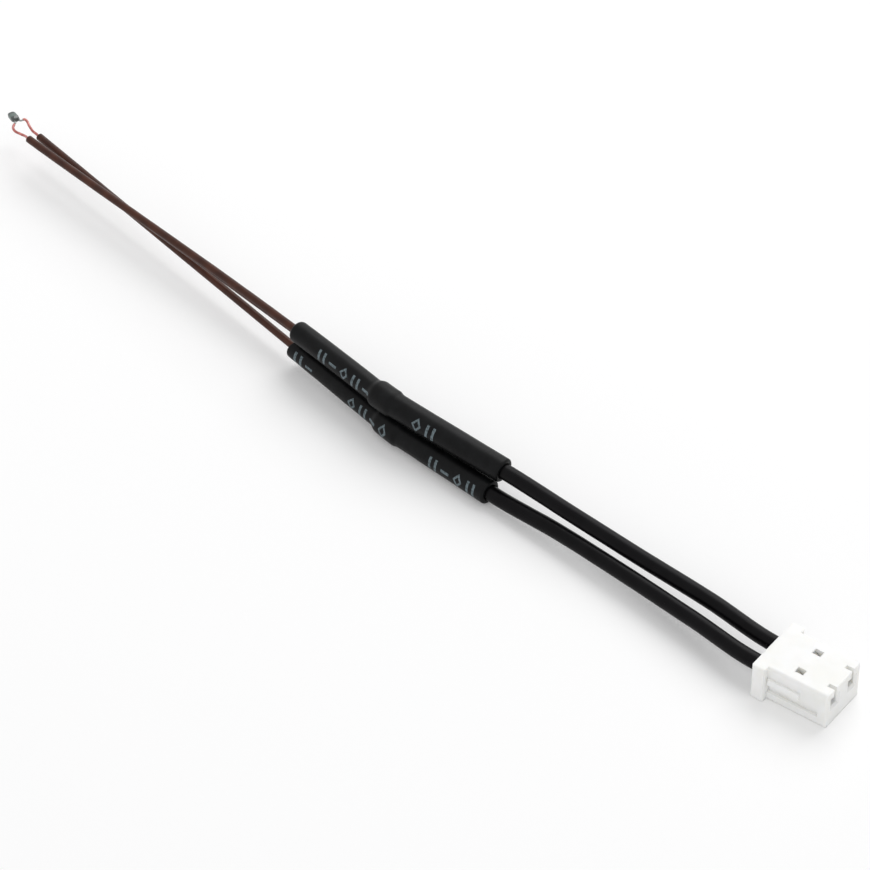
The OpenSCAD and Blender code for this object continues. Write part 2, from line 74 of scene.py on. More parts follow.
lay = {
    # Housing: pitch and height of its cavities, its place and size, and how far the wires go in
    "pitch": 1.8, "cavityHigh": 1.5, "wireRun": 29.4, "housingShift": -3.41, "housingLong": 4.8,
    "flangeWide": 4.3, "insulationIn": 1.4, "coreIn": 2.15,
    # Tubes: length, the part of it on the sensor side, and the gaps where one rests on the other
    "tubeLong": 17.4, "tubeFine": [8.7, 9.8], "restGap": 0.04, "endGap": 0.015,
    # Splices: how far the right one lies forward and aside, then stripped wire, solder joint and
    # the fall of the tube to the sleeve, outside and inside
    "stagger": 0.74, "spliceSide": 0.3, "bare": 0.7, "joint": [1.0, 1.25], "fall": 0.6,
    "fallInside": 0.42,
    # Black wires: heading in the tube, and the bow to the side at the quarter points
    "wireYaw": [-2.7, -7.2], "bow": [[0, 0.02, 0.1], [0.24, 0.23, 0.11]],
    # Sleeves: heading, rise, reach from the splice, and the bow along X, Y and Z at its top
    "fineYaw": [11.2, 13.1], "fineRise": [-0.4, 1.6], "reach": [35.0, 36.1],
    "sagFrom": 1.5, "sagSoft": 0.5, "sag": [[0, 0.1, 0.2], [0, 0, 0]],
    # Bead: place from the tip between the sleeves, heading and size, and how the leads enter it
    "beadFromTip": [-2.43, 0.83, 0.05], "beadYaw": 158.4, "beadLong": 0.9, "beadWide": 0.56,
    "beadThick": 0.4, "beadEdge": 0.12, "leadSpacing": 0.32, "leadIn": 0.66, "leadStraight": 0.05,
    # Bare loops of the leads, from the same tip
    "loops": [
        [[-0.4, -0.345, 0.15], [-0.87, -0.315, 0.1], [-1.37, -0.255, 0.05], [-1.71, -0.045, 0.05],
         [-1.9, 0.3, 0.05]],
        [[-0.29, 0.545, -0.15], [-0.6, 0.585, -0.1], [-1.1, 0.825, -0.05], [-1.46, 1.045, 0],
         [-1.7, 1.05, 0.05]],
    ],
}
radius = {
    "wire": 0.5, "core": 0.24, "coreBore": 0.25, "sleeve": 0.25, "sleeveBore": 0.14, "lead": 0.09,
    "tubeFine": 0.69, "tubeWire": 0.775, "bump": 0.88, "solder": 0.58,
}


def layAnchors():
    # The points that the pieces hang on, moved so that the middle of the part is over the origin
    yaw, rise = np.radians(lay["fineYaw"]), np.radians(lay["fineRise"])
    fineDir = np.stack([-np.cos(yaw) * np.cos(rise), np.sin(yaw) * np.cos(rise), np.sin(rise)], axis=1)
    # The right splice lies on the table and the left one rests on it
    bump, tubeHigh = radius["bump"], radius["tubeWire"]
    upper = bump + math.sqrt((2 * bump + lay["restGap"]) ** 2 - lay["spliceSide"] ** 2)
    splice = np.array([[0, 0, upper], [lay["stagger"], -lay["spliceSide"], bump]])
    # So do the tubes' ends towards the wires
    wireYaw = np.radians(lay["wireYaw"])
    wireSide = np.array([lay["tubeLong"] - fine for fine in lay["tubeFine"]])
    end = splice.copy()
    end[:, 0] += wireSide * np.cos(wireYaw)
    end[:, 1] += wireSide * np.sin(wireYaw)
    end[:, 2] = tubeHigh
    apart = end[left, 1] - end[right, 1]
    end[left, 2] += math.sqrt((2 * tubeHigh + lay["endGap"]) ** 2 - apart ** 2)
    # Both sleeves' lines at the X where the farther sleeve ends, and the tip midway between them
    farX = min(splice[s, 0] + lay["reach"][s] * fineDir[s, 0] for s in (left, right))
    far = np.array([splice[s] + (farX - splice[s, 0]) / fineDir[s, 0] * fineDir[s]
                    for s in (left, right)])
    tip = far.mean(axis=0)
    bead = tip + lay["beadFromTip"]
    # The bead's reach along X and Y, for the middle of the part
    turn, edge = math.radians(lay["beadYaw"]), lay["beadEdge"]
    halfLong, halfWide = lay["beadLong"] / 2 - edge, lay["beadWide"] / 2 - edge
    reachX = halfLong * abs(math.cos(turn)) + halfWide * abs(math.sin(turn)) + edge
    reachY = halfLong * abs(math.sin(turn)) + halfWide * abs(math.cos(turn)) + edge
    mid = np.array([(lay["wireRun"] + lay["housingLong"] + bead[0] - reachX) / 2,
                    (lay["housingShift"] - lay["flangeWide"] / 2 + bead[1] + reachY) / 2, 0])
    entry = np.array([[lay["wireRun"], lay["housingShift"] + sign * lay["pitch"] / 2, lay["cavityHigh"]]
                      for sign in (1, -1)])
    return {"splice": splice - mid, "end": end - mid, "entry": entry - mid, "far": far - mid,
            "tip": tip - mid, "bead": bead - mid, "fineDir": fineDir, "wireDir": unit(end - splice),
            "wireSide": wireSide, "beadDir": np.array([math.cos(turn), math.sin(turn), 0])}


at = layAnchors()


# Paths: each gives the places and directions at an array of distances in mm

def followLine(along, points, peek):
    # Straight steps between the points; the direction is taken from peek mm behind to peek mm ahead
    def placeAt(s):
        return np.stack([np.interp(s, along, points[:, k]) for k in range(3)], axis=-1)

    def follow(s):
        s = np.asarray(s, float)
        return placeAt(s), unit(placeAt(s + peek) - placeAt(s - peek))

    return follow


def pathThrough(points, peek=0.03):
    # Length of the path through the points, and the way to follow it
    points = np.asarray(points, float)
    along = np.concatenate([[0], np.cumsum(np.linalg.norm(np.diff(points, axis=0), axis=1))])
    return along[-1], followLine(along, points, peek)


def straightPath(start, direction):
    direction = unit(direction)

    def follow(s):
        s = np.asarray(s, float)
        return start + s[..., None] * direction, np.broadcast_to(direction, s.shape + (3,))

    return follow


def fineLine(side, s):
    # Sensor side of a splice, s mm from it: a straight line plus a bow of 27/4 t (1 - t)^2, whose top
    # is 1 at t = 1/3; t is the share of the way from sagFrom to the sleeve's end, and starts softly
    x = s - lay["sagFrom"]
    soft = (x + np.sqrt(x * x + lay["sagSoft"] ** 2)) / 2
    t = np.clip(soft / (lay["reach"][side] - lay["sagFrom"]), 0, 1)[:, None]
    bow = 27 / 4 * t * (1 - t) ** 2 * np.array(lay["sag"][side])
    return at["splice"][side] + s[:, None] * at["fineDir"][side] + bow


def smoothCurve(points, steps):
    # Catmull-Rom curve through all points but the first and the last; between b and c, with their
    # neighbours a and d: (2b + (c - a) s + (2a - 5b + 4c - d) s^2 + (3b - a - 3c + d) s^3) / 2
    p = np.asarray(points, float)
    s = np.linspace(0, 1, steps, endpoint=False)[:, None]
    parts = [0.5 * (2 * b + (c - a) * s + (2 * a - 5 * b + 4 * c - d) * s ** 2
                    + (3 * b - a - 3 * c + d) * s ** 3)
             for a, b, c, d in zip(p, p[1:], p[2:], p[3:])]
    return np.concatenate(parts + [p[-2:-1]])


# Skins

def turnedSkin(follow, profile, sides, shape=None, closed=True):
    # Profile of (distance, radius) pairs turned round a curved axis:
    # point = axis(s) + r(s, a) * (cos a * side + sin a * up), side = tangent x Z, up = side x tangent.
    # Faces point away from the axis where the distance grows. The texture coordinates are the distance
    # in mm and the share of the turn, from the near side upwards.
    profile = np.asarray(profile, float)
    centre, tangent = follow(profile[:, 0])
    sideways = unit(np.cross(tangent, [0, 0, 1]))
    upways = np.cross(sideways, tangent)
    angle = np.linspace(0, 2 * math.pi, sides, endpoint=False)
    r = profile[:, 1][:, None] * np.ones(sides)
    if shape is not None:
        r = shape(profile[:, 0][:, None], angle[None, :], r)
    outwards = (np.cos(angle)[None, :, None] * sideways[:, None]
                + np.sin(angle)[None, :, None] * upways[:, None])
    grid = centre[:, None] + r[..., None] * outwards
    rows = len(profile)
    i, j = np.meshgrid(np.arange(rows if closed else rows - 1), np.arange(sides), indexing="ij")
    nextI, nextJ = (i + 1) % rows, (j + 1) % sides
    quads = np.stack([i * sides + j, nextI * sides + j, nextI * sides + nextJ, i * sides + nextJ], axis=-1)
    along = np.append(profile[:, 0], profile[0, 0])
    u0, u1, v0, v1 = along[i], along[i + 1], j / sides, (j + 1) / sides
    uvs = np.stack([u0, v0, u1, v0, u1, v1, u0, v1], axis=-1)
    caps = [] if closed else [np.arange(sides), np.arange((rows - 1) * sides, rows * sides)[::-1]]
    return grid.reshape(-1, 3), quads.reshape(-1, 4), uvs.reshape(-1, 4, 2), caps


def waves(shape, side):
    # Slight unevenness of a round piece: the mean over its periods p of
    # sin(2 pi s / p + p0 + sin(n a + p1)) * cos(n a + p1), with random p0, p1 and n, times its size in mm
    rng = np.random.default_rng(shape["seed"] + side)
    periods = shape["periods"]
    phases = rng.uniform(0, 2 * math.pi, (len(periods), 2))
    turns = rng.integers(1, 4, len(periods))

    def offset(s, a):
        parts = sum(np.sin(2 * math.pi * s / p + ph[0] + np.sin(n * a + ph[1])) * np.cos(n * a + ph[1])
                    for p, ph, n in zip(periods, phases, turns))
        return shape["uneven"] * parts / len(periods)

    return offset


def addPiece(name, skins, node, look):
    # One piece from the skins, which stands for a node of the source
    first = np.cumsum([0] + [len(skin[0]) for skin in skins[:-1]])
    verts = np.concatenate([skin[0] for skin in skins])
    quads = np.concatenate([skin[1] + n for skin, n in zip(skins, first)])
    uvs = np.concatenate([skin[2] for skin in skins])
    caps = [cap + n for skin, n in zip(skins, first) for cap in skin[3]]
    sizes = [4] * len(quads) + [len(cap) for cap in caps]
    loops = np.concatenate([quads.ravel()] + caps).astype(np.int32)
    mesh = bpy.data.meshes.new(name)
    mesh.vertices.add(len(verts))
    mesh.vertices.foreach_set("co", (verts * mm).ravel())
    mesh.loops.add(len(loops))
    mesh.loops.foreach_set("vertex_index", loops)
    mesh.polygons.add(len(sizes))
    mesh.polygons.foreach_set("loop_start", np.cumsum([0] + sizes[:-1]).astype(np.int32))
    mesh.polygons.foreach_set("use_smooth", np.full(len(sizes), True))
    mesh.update(calc_edges=True)
    corners = np.zeros((len(loops), 2))
    corners[:len(quads) * 4] = uvs.reshape(-1, 2)
    mesh.uv_layers.new(name="along").data.foreach_set("uv", corners.ravel())
    mesh.validate()
    mesh.materials.append(look)
    made = bpy.data.objects.new(name, mesh)
    bpy.context.scene.collection.objects.link(made)
    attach(made, "root")
    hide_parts(node)


# Materials

def newLook(name, plain):
    # A material with the values that are the same all over it
    look = bpy.data.materials.new(name)
    look.use_nodes = True
    tree = look.node_tree
    shader = tree.nodes["Principled BSDF"]
    for socket, value in plain.items():
        shader.inputs[socket].default_value = value
    return look, tree, shader


def dress(name, finish):
    # What all finishes share. "grains" has noises by grain size in mm, detail, and how dense they are
    # along X beside across it, so that 0.1 draws them out tenfold. "tone" blends two colours by one
    # of them, from a low to a high value of the noise, "gloss" blends two roughnesses the same way,
    # and "relief" lays bumps of a depth in mm and a strength on each other. Grains under 0.06 mm, a
    # pixel of the main view, are a little coarser than the real ones, so that they show from near.
    look, tree, shader = newLook(name, finish["plain"])
    where = put(tree, "ShaderNodeTexCoord")["Object"]
    grain = {}
    for key, (size, detail, alongX) in finish["grains"].items():
        scale = 1 / (size * mm)
        placed = put(tree, "ShaderNodeMapping", {"Vector": where, "Scale": [scale * alongX, scale, scale]})
        noise = {"Vector": placed["Vector"], "Scale": 1.0, "Detail": detail, "Roughness": 0.5}
        grain[key] = put(tree, "ShaderNodeTexNoise", noise)["Fac"]
    key, low, high, dark, light = finish["tone"]
    share = put(tree, "ShaderNodeMapRange", {"Value": grain[key], "From Min": low, "From Max": high})[0]
    tone = put(tree, "ShaderNodeMix", {0: share, 6: linearColor(dark), 7: linearColor(light)},
               data_type="RGBA")[2]
    tree.links.new(tone, shader.inputs["Base Color"])
    key, low, high, smooth, rough = finish["gloss"]
    gloss = put(tree, "ShaderNodeMapRange", {"Value": grain[key], "From Min": low, "From Max": high,
                                             "To Min": smooth, "To Max": rough})[0]
    tree.links.new(gloss, shader.inputs["Roughness"])
    below = {}
    for key, depth, strength in finish["relief"]:
        bumps = {"Height": grain[key], "Distance": depth * mm, "Strength": strength, **below}
        below = {"Normal": put(tree, "ShaderNodeBump", bumps)["Normal"]}
    tree.links.new(below["Normal"], shader.inputs["Normal"])
    return look, tree, shader, grain, tone


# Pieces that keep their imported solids

solids = {
    # Natural nylon 66, injection moulded in a spark-eroded tool: milky white and evenly matt, with
    # light in its thin edges, a faint grain and slight sinks
    "nylonMoulded": {
        "nodes": ["connector_housing"],
        "plain": {"Subsurface Weight": 0.5, "Subsurface Radius": (1.0, 0.95, 0.88),
                  "Subsurface Scale": 0.35 * mm},
        "grains": {"flow": (1.6, 3.0, 1), "patch": (0.35, 3.0, 1), "sink": (0.6, 2.0, 1),
                   "erosion": (0.035, 3.0, 1)},
        "tone": ("flow", 0.35, 0.65, "#f5f5f1", "#fafaf8"),
        "gloss": ("patch", 0, 1, 0.36, 0.52),
        "relief": [("sink", 0.008, 0.5), ("erosion", 0.0025, 0.7)],
    },
    # Phosphor bronze strip, tin plated and stamped: bright, with fine rolling lines
    "tinnedBronze": {
        "nodes": ["contact_left", "contact_right"],
        "plain": {"Metallic": 1.0},
        "grains": {"line": (0.05, 3.0, 0.1), "patch": (0.15, 2.0, 1)},
        "tone": ("line", 0.35, 0.65, "#bdbab2", "#e2dfd6"),
        "gloss": ("patch", 0, 1, 0.3, 0.42),
        "relief": [("line", 0.003, 0.6)],
    },
    # Tin-silver-copper solder, cooled: grey and dull, with soft dents
    "solderDull": {
        "nodes": ["solder_joint_left", "solder_joint_right"],
        "plain": {"Metallic": 1.0},
        "grains": {"dent": (0.2, 3.0, 1), "patch": (0.6, 2.0, 1)},
        "tone": ("dent", 0.35, 0.65, "#8f9294", "#b9bcbe"),
        "gloss": ("patch", 0, 1, 0.3, 0.5),
        "relief": [("dent", 0.006, 0.6)],
    },
    # Silver paste, fired on: pale and finely grained
    "firedSilver": {
        "nodes": ["electrode_left", "electrode_right"],
        "plain": {"Metallic": 1.0},
        "grains": {"grain": (0.03, 3.0, 1), "patch": (0.09, 2.0, 1)},
        "tone": ("grain", 0.35, 0.65, "#b9b9b4", "#dadad5"),
        "gloss": ("patch", 0, 1, 0.35, 0.5),
        "relief": [("grain", 0.002, 0.6)],
    },
    # Manganese-nickel oxide, sintered and diced from a wafer: dark grey and matt
    "oxideCeramic": {
        "nodes": ["sensor_chip"],
        "plain": {},
        "grains": {"tone": (0.03, 3.0, 1), "patch": (0.05, 2.0, 1), "pore": (0.015, 3.0, 1)},
        "tone": ("tone", 0.35, 0.65, "#3d423d", "#5b625b"),
        "gloss": ("patch", 0, 1, 0.6, 0.8),
        "relief": [("pore", 0.002, 0.8)],
    },
}
for name, finish in solids.items():
    look = dress(name, finish)[0]
    for node in finish["nodes"]:
        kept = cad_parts[node].data.materials
        kept.clear()
        kept.append(look)
print("solids dressed")


# Black wires: insulation over seven twisted strands

wire = {
    "sides": 48, "rings": 260, "quarterRings": 40, "strandSides": 12, "strandRings": 420,
    "edge": 0.04, "edgeShare": 0.3,  # cut edges, and where their chamfer starts as a share of them
    # Unevenness of the wall farther out than wallFrom, which lies a little under its full radius
    "seed": 11, "periods": [2.3, 5.1, 9.7], "uneven": 0.006, "under": 0.004, "wallFrom": 0.4,
    "strands": 7, "strand": 0.079, "twist": 6.5,  # how many, their radius and the length of a twist
    # Flexible PVC, extruded over the strands: black with a low sheen, and long faint streaks
    "insulation": {
        "plain": {"Specular IOR Level": 0.09},
        "grains": {"cloud": (0.9, 3.0, 1), "streak": (0.12, 3.0, 0.05), "pore": (0.03, 2.0, 1)},
        "tone": ("cloud", 0.35, 0.7, "#060507", "#0c0b0d"),
        "gloss": ("streak", 0.3, 0.7, 0.26, 0.38),
        "relief": [("streak", 0.004, 0.6), ("pore", 0.001, 0.5)],
    },
    # Copper wire, tinned and drawn: warm grey, with fine lines along each strand
    "core": {
        "plain": {"Metallic": 1.0},
        "grains": {"line": (0.04, 3.0, 0.1), "patch": (0.12, 2.0, 1)},
        "tone": ("line", 0.35, 0.65, "#a59a88", "#cfc4b2"),
        "gloss": ("patch", 0, 1, 0.25, 0.4),
        "relief": [("line", 0.002, 0.6)],
    },
}
insulationLook = dress("pvcExtruded", wire["insulation"])[0]
coreLook = dress("tinnedStrand", wire["core"])[0]


def wirePoints(side, begin, into):
    # From begin mm past the splice, straight in the tube, bowed through its quarter points, then
    # into the housing
    p, u = at["end"][side], at["wireDir"][side]
    q, v = at["entry"][side], np.array([1.0, 0, 0])
    quarter = np.linalg.norm(q - p) / 4
    bends = [p + (i + 1) / 4 * (q - p) + [0, lay["bow"][side][i], 0] for i in range(3)]
    run = [bends[0] - 2 * quarter * u, p] + bends + [q, bends[2] + 2 * quarter * v]
    return np.concatenate([[at["splice"][side] + begin * u], smoothCurve(run, wire["quarterRings"]),
                           [q + into * v]])


def makeInsulation(side):
    length, follow = pathThrough(wirePoints(side, lay["bare"], lay["insulationIn"]))
    edge, r, bore = wire["edge"], radius["wire"], radius["coreBore"]
    chamfer = edge * wire["edgeShare"]
    s = np.linspace(edge, length - edge, wire["rings"])
    outer = np.stack([s, np.full_like(s, r)], axis=1)
    endCut = [[length - chamfer, r - chamfer], [length, r - edge], [length, bore]]
    inner = np.stack([s[::-4], np.full_like(s[::-4], bore)], axis=1)  # a quarter of the rings will do
    startCut = [[0, bore], [0, r - edge], [chamfer, r - chamfer]]
    uneven = waves(wire, side)

    def shape(s, a, r):
        return np.where(r > wire["wallFrom"], r + uneven(s, a) - wire["under"], r)

    skin = turnedSkin(follow, np.concatenate([outer, endCut, inner, startCut]), wire["sides"], shape)
    addPiece("wireInsulation" + sideTitles[side], [skin], "wire_insulation_" + sideNames[side],
             insulationLook)


def makeStrands(side):
    # Six strands round a middle one: line = axis + away * (cos f * side + sin f * up), and f turns
    # once in each twist
    length, follow = pathThrough(wirePoints(side, lay["bare"] / 2, lay["coreIn"]))
    s = np.linspace(0, length, wire["strandRings"])
    centre, tangent = follow(s)
    sideways = unit(np.cross(tangent, [0, 0, 1]))
    upways = np.cross(sideways, tangent)
    skins, outerOnes = [], wire["strands"] - 1
    for k in range(wire["strands"]):
        phase = 2 * math.pi * (s / wire["twist"] + k / outerOnes)
        away = 0 if k == outerOnes else radius["core"] - wire["strand"]
        line = centre + away * (np.cos(phase)[:, None] * sideways + np.sin(phase)[:, None] * upways)
        strandLength, strandFollow = pathThrough(line)
        t = np.linspace(0, strandLength, wire["strandRings"])
        profile = np.stack([t, np.full_like(t, wire["strand"])], axis=1)
        skins.append(turnedSkin(strandFollow, profile, wire["strandSides"], closed=False))
    addPiece("wireStrands" + sideTitles[side], skins, "wire_core_" + sideNames[side],
             coreLook)


# Heat-shrink tubes

tube = {
    "sides": 72, "step": 0.08,
    # Axis: softness of its bend at the splice, how far off its direction is read, reach and steps
    "bend": 0.3, "peek": 0.1, "axisReach": 11, "axisStep": 0.05,
    # Unevenness of the outer wall, which sets in over wallOver from wallFrom outwards
    "seed": 31, "periods": [1.7, 3.9, 7.3, 12.1], "uneven": 0.012, "proud": 0.002,
    "wallFrom": 0.6, "wallOver": 0.08,
    # Bump over the solder: its share of the full radius, and how softly it runs out on the wire
    "ball": 0.98, "runOut": 0.03, "under": 0.002,
    # Rounded ends, and the slant on which the right tube is cut
    "lip": [0.25, 0.06], "wireLip": 0.16, "slant": [0, 0.4], "slantOver": 1.2,
    # Inner wall: its play, its wider mouths, the start of its cone and its rings near the two ends
    "clear": 0.005, "flare": 0.03, "cone": 0.3, "innerRings": [3, 2],
    # Polyolefin, shrunk over the splice: black and satin, with faint folds round it
    "skin": {
        "plain": {"Specular IOR Level": 0.12},
        "grains": {"cloud": (0.7, 3.0, 1), "patch": (0.25, 3.0, 1), "fold": (0.5, 2.0, 0.35),
                   "pore": (0.045, 3.0, 1), "wear": (0.1, 3.0, 1)},
        "tone": ("cloud", 0.35, 0.7, "#070708", "#101112"),
        "gloss": ("patch", 0, 1, 0.34, 0.46),
        "relief": [("fold", 0.012, 0.6), ("pore", 0.003, 0.6)],
    },
}

# Faded stamp on each tube: diamonds, pairs of bars and dashes in turn, one in each cell along it
stamp = {
    # Runs of marks on each tube, from a first cell to the one after the last. Cells are counted from
    # a place "before" mm from the splice, towards the sensor and past the tube's end.
    "runs": [[[43, 48], [51, 53]], [[40, 42], [45, 49], [52, 56]]],
    "before": 50.0, "cell": 1.02,
    "height": [0.055, 0.03], "round": 4.5,  # in turns up from the near side, and the mm in a turn
    # Half height and half width of a mark, its line width, and how far a bar is from the middle
    "tall": 0.4, "wide": 0.32, "stroke": 0.18, "barAway": 0.23,
    "ring": 0.85, "rim": 0.25,  # the diamond's line as a share of its size, and half its width
    "ink": "#6d797e", "wearFrom": 0.36, "wearTo": 0.54, "faintest": 0.4,
}


def shrinkLook(side):
    look, tree, shader, grain, black = dress("polyolefinShrunk" + sideTitles[side], tube["skin"])
    where = put(tree, "ShaderNodeSeparateXYZ", {"Vector": put(tree, "ShaderNodeTexCoord")["UV"]})
    worn = put(tree, "ShaderNodeMapRange", {"Value": grain["wear"], "From Min": stamp["wearFrom"],
                                            "From Max": stamp["wearTo"], "To Min": stamp["faintest"]})[0]
    # Each step: what it gives, its operation, and what goes in
    steps = [
        # The cell, which of the three marks it holds, and the distance from its middle
        ("place", "ADD", "along", stamp["before"]),
        ("place", "DIVIDE", "place", stamp["cell"]),
        ("turn", "FLOOR", "place"),
        ("turn", "MODULO", "turn", 3.0),
        ("x", "FRACT", "place"),
        ("x", "SUBTRACT", "x", 0.5),
        ("x", "MULTIPLY", "x", stamp["cell"]),
        ("x", "ABSOLUTE", "x"),
        # The height from the mark's middle, the short way round the tube
        ("y", "ADD", "round", 0.5 - stamp["height"][side]),
        ("y", "FRACT", "y"),
        ("y", "SUBTRACT", "y", 0.5),
        ("y", "MULTIPLY", "y", stamp["round"]),
        ("y", "ABSOLUTE", "y"),
        # Diamond: a rim where x / wide + y / tall is near the ring's value
        ("xShare", "DIVIDE", "x", stamp["wide"]),
        ("yShare", "DIVIDE", "y", stamp["tall"]),
        ("diamond", "ADD", "xShare", "yShare"),
        ("diamond", "SUBTRACT", "diamond", stamp["ring"]),
        ("diamond", "ABSOLUTE", "diamond"),
        ("diamond", "LESS_THAN", "diamond", stamp["rim"]),
        ("first", "LESS_THAN", "turn", 0.5),
        ("diamond", "MULTIPLY", "diamond", "first"),
        # Two bars, one on each side of the middle
        ("bars", "SUBTRACT", "x", stamp["barAway"]),
        ("bars", "ABSOLUTE", "bars"),
        ("bars", "LESS_THAN", "bars", stamp["stroke"] / 2),
        ("low", "LESS_THAN", "y", stamp["tall"]),
        ("bars", "MULTIPLY", "bars", "low"),
        ("second", "COMPARE", "turn", 1.0, 0.5),
        ("bars", "MULTIPLY", "bars", "second"),
        # Dash
        ("dash", "LESS_THAN", "x", stamp["wide"]),
        ("thin", "LESS_THAN", "y", stamp["stroke"] / 2),
        ("dash", "MULTIPLY", "dash", "thin"),
        ("third", "GREATER_THAN", "turn", 1.5),
        ("dash", "MULTIPLY", "dash", "third"),
        ("mark", "ADD", "diamond", "bars"),
        ("mark", "ADD", "mark", "dash"),
    ]
    for begin, end in stamp["runs"][side]:
        steps += [("after", "GREATER_THAN", "place", begin), ("ahead", "LESS_THAN", "place", end),
                  ("within", "MULTIPLY", "after", "ahead"), ("runs", "ADD", "runs", "within")]
    steps += [("mark", "MULTIPLY", "mark", "runs"), ("mark", "MULTIPLY", "mark", "worn")]
    known = {"along": where["X"], "round": where["Y"], "worn": worn, "runs": 0.0}
    for result, operation, *taken in steps:
        inputs = {i: known.get(value, value) for i, value in enumerate(taken)}
        known[result] = put(tree, "ShaderNodeMath", inputs, operation=operation)[0]
    inked = put(tree, "ShaderNodeMix", {0: known["mark"], 6: black, 7: linearColor(stamp["ink"])},
                data_type="RGBA")[2]
    tree.links.new(inked, shader.inputs["Base Color"])
    return look


shrinkLooks = [shrinkLook(side) for side in (left, right)]


def tubePath(side):
    # Two lines that meet at the splice, eased: c(s) = fine(h(-s)) + wire * h(s),
    # h(x) = (x + sqrt(x^2 + bend^2)) / 2
    def ease(x):
        return (x + np.sqrt(x * x + tube["bend"] ** 2)) / 2

    base = np.arange(-tube["axisReach"], tube["axisReach"], tube["axisStep"])
    points = fineLine(side, ease(-base)) + at["wireDir"][side] * ease(base)[:, None]
    return followLine(base, points, tube["peek"])


def tubeRadius(side, s):
    # Sensor side: full over the joint, then a cosine fall. Wire side: the ball of solder running out
    # on the wire, r = w + (d + sqrt(d^2 + e^2)) / 2 with d = sqrt(ball^2 - s^2) - w
    full = tube["ball"] * radius["bump"]
    fall = np.clip((-s - lay["joint"][side]) / lay["fall"], 0, 1)
    fine = radius["tubeFine"] + (full - radius["tubeFine"]) * (1 + np.cos(math.pi * fall)) / 2
    d = np.sqrt(np.clip(radius["bump"] ** 2 - s * s, 0, None)) - radius["tubeWire"]
    onWire = radius["tubeWire"] + (d + np.sqrt(d * d + tube["runOut"] ** 2)) / 2 - tube["under"]
    return np.where(s < 0, fine, np.clip(onWire, None, full))


def makeTube(side):
    fineEnd, wireEnd = -lay["tubeFine"][side], at["wireSide"][side]
    lip, wireLip, slant = tube["lip"][side], tube["wireLip"], tube["slant"][side]
    start = fineEnd + slant / 2
    s = np.arange(start + lip, wireEnd - wireLip, tube["step"])
    outer = np.stack([s, tubeRadius(side, s)], axis=1)
    # Rounded lips, as quarter circles
    rf, rw = radius["tubeFine"], radius["tubeWire"]
    a = np.radians([0, 15, 30, 45, 60, 75, 90])
    wireCut = np.stack([wireEnd - wireLip + wireLip * np.sin(a), rw - wireLip + wireLip * np.cos(a)], axis=1)
    b = a[::-1]
    fineCut = np.stack([start + lip - lip * np.sin(b), rf - lip + lip * np.cos(b)], axis=1)[:-1]
    # Inner wall, from the wire over the solder joint to the sleeve
    joint, flare = lay["joint"][side], tube["flare"]
    bore, sleeveBore = radius["wire"] + tube["clear"], radius["sleeve"] + tube["clear"]
    nearWire, nearSleeve = tube["innerRings"]
    inner = [[wireEnd, bore + flare], [wireEnd - flare, bore], [wireEnd - nearWire, bore],
             [lay["bare"], bore], [tube["cone"], bore], [0, radius["solder"]], [-joint, radius["solder"]],
             [-joint - lay["fallInside"], sleeveBore], [start + nearSleeve, sleeveBore],
             [start + flare, sleeveBore], [start, radius["sleeve"] + flare]]
    uneven = waves(tube, side)

    def shape(s, a, r):
        share = np.clip((r - tube["wallFrom"]) / tube["wallOver"], 0, 1)
        return r + (uneven(s, a) + tube["proud"]) * share

    profile = np.concatenate([outer, wireCut, inner, fineCut])
    verts, quads, uvs, caps = turnedSkin(tubePath(side), profile, tube["sides"], shape)
    if slant:
        # Rows near the sensor end slide along the axis with their place across it, so the end is
        # cut on the slant
        fineDir = at["fineDir"][side]
        verts = verts.reshape(-1, tube["sides"], 3)
        near = np.clip(1 - (profile[:, 0] - start) / tube["slantOver"], 0, 1)[:, None]
        lean = ((verts - at["splice"][side]) @ unit(np.cross([0, 0, 1], fineDir))) / rf * slant / 2
        verts = (verts + (lean * near)[..., None] * fineDir).reshape(-1, 3)
    addPiece("shrinkTube" + sideTitles[side], [(verts, quads, uvs, caps)],
             "shrink_tube_" + sideNames[side], shrinkLooks[side])


# Sleeves over the fine leads

sleeve = {
    "sides": 40, "rings": 240, "pathSteps": 500, "beyond": 0.1,  # its path runs on beyond its end
    "edge": 0.02, "edgeShare": 0.3,  # as on the wires, and so is the unevenness
    "seed": 51, "periods": [1.9, 4.7, 8.9], "uneven": 0.005, "under": 0.003, "wallFrom": 0.22,
    # Polyimide film, wound to a tube and cured: dark brown and smooth, with a soft sheen
    "film": {
        "plain": {"Specular IOR Level": 0.16, "Coat Weight": 0.05, "Coat Roughness": 0.3},
        "grains": {"blotch": (0.9, 2.0, 1), "patch": (0.3, 2.0, 1), "pore": (0.06, 2.0, 1)},
        "tone": ("blotch", 0.35, 0.65, "#3a1f16", "#49281c"),
        "gloss": ("patch", 0, 1, 0.3, 0.42),
        "relief": [("pore", 0.0015, 0.5)],
    },
}
sleeveLook = dress("polyimideSleeve", sleeve["film"])[0]


